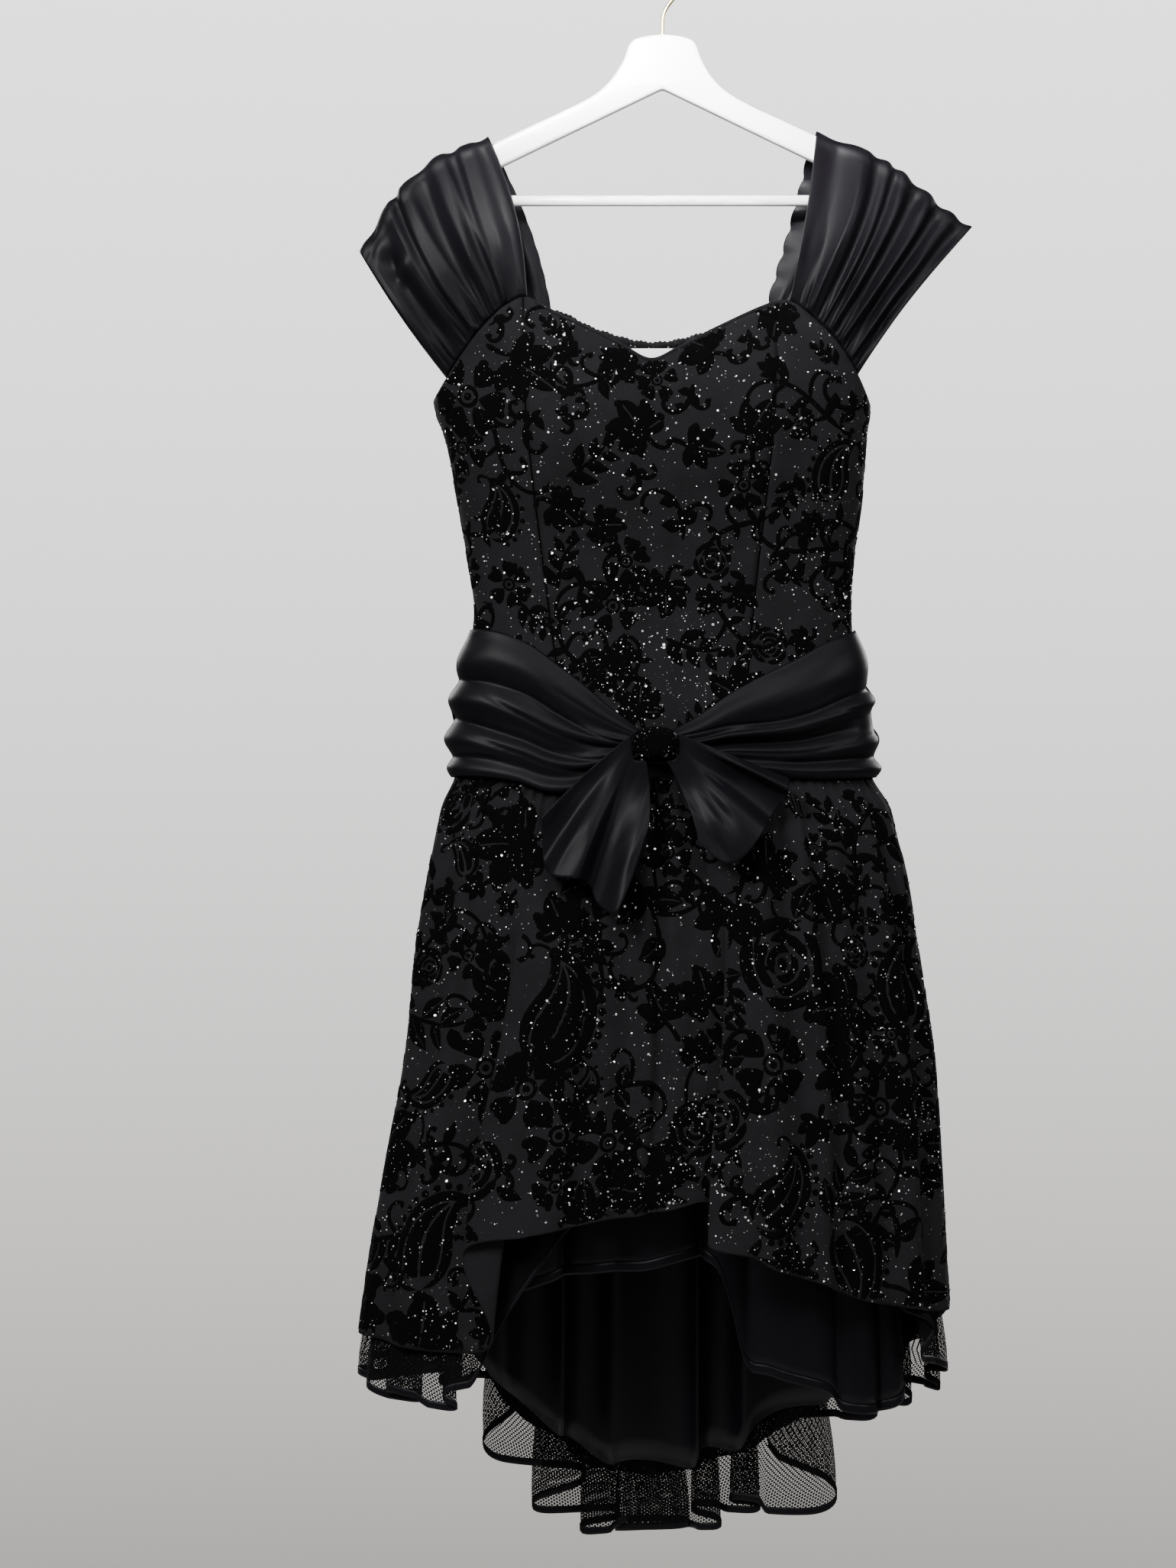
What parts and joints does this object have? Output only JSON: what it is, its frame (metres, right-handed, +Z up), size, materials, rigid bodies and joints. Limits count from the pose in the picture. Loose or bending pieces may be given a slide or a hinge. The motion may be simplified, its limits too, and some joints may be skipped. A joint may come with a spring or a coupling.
{
  "type": "party dress on a hanger",
  "caption": "Knee-length party dress with satin cap sleeves, a sash bow, a high-low flocked skirt and a net petticoat, hung on a wooden hanger with a trouser bar.",
  "frame": {"origin": "top of the inside of the hanger's hook, where it lies on the rail that holds it", "axes": "+Z up, the dress's front faces -Y, +X to the right in front view"},
  "size_m": [0.5632, 0.2045, 1.4672],
  "materials": {
    "flocked_crepe": "matt charcoal crepe with black velvet flock and fine glitter",
    "black_satin": "soft satin",
    "lining_satin": "dull satin",
    "black_net": "sheer net",
    "label_satin": "woven, blank",
    "white_paint": "satin white paint",
    "brass_wire": "polished wire"
  },
  "bodies": {
    "root": {"hanger_hook": "brass_wire", "hanger_body": "white_paint", "hanger_bar": "white_paint", "bodice_side_left": "flocked_crepe", "bodice_front_centre": "flocked_crepe", "bodice_side_right": "flocked_crepe", "bodice_back": "flocked_crepe", "back_neck_casing": "flocked_crepe", "neck_label": "label_satin", "sleeve_left": "black_satin", "sleeve_right": "black_satin", "sash_front_left": "black_satin", "sash_front_right": "black_satin", "sash_back": "black_satin", "bow_knot": "flocked_crepe", "bow_tail_left": "black_satin", "bow_tail_right": "black_satin", "skirt_front": "flocked_crepe", "skirt_back": "flocked_crepe", "petticoat_front": "black_net", "petticoat_back": "black_net", "petticoat_binding_front": "black_satin", "petticoat_binding_back": "black_satin", "lining_front": "lining_satin", "lining_back": "lining_satin"}
  },
  "joints": []
}
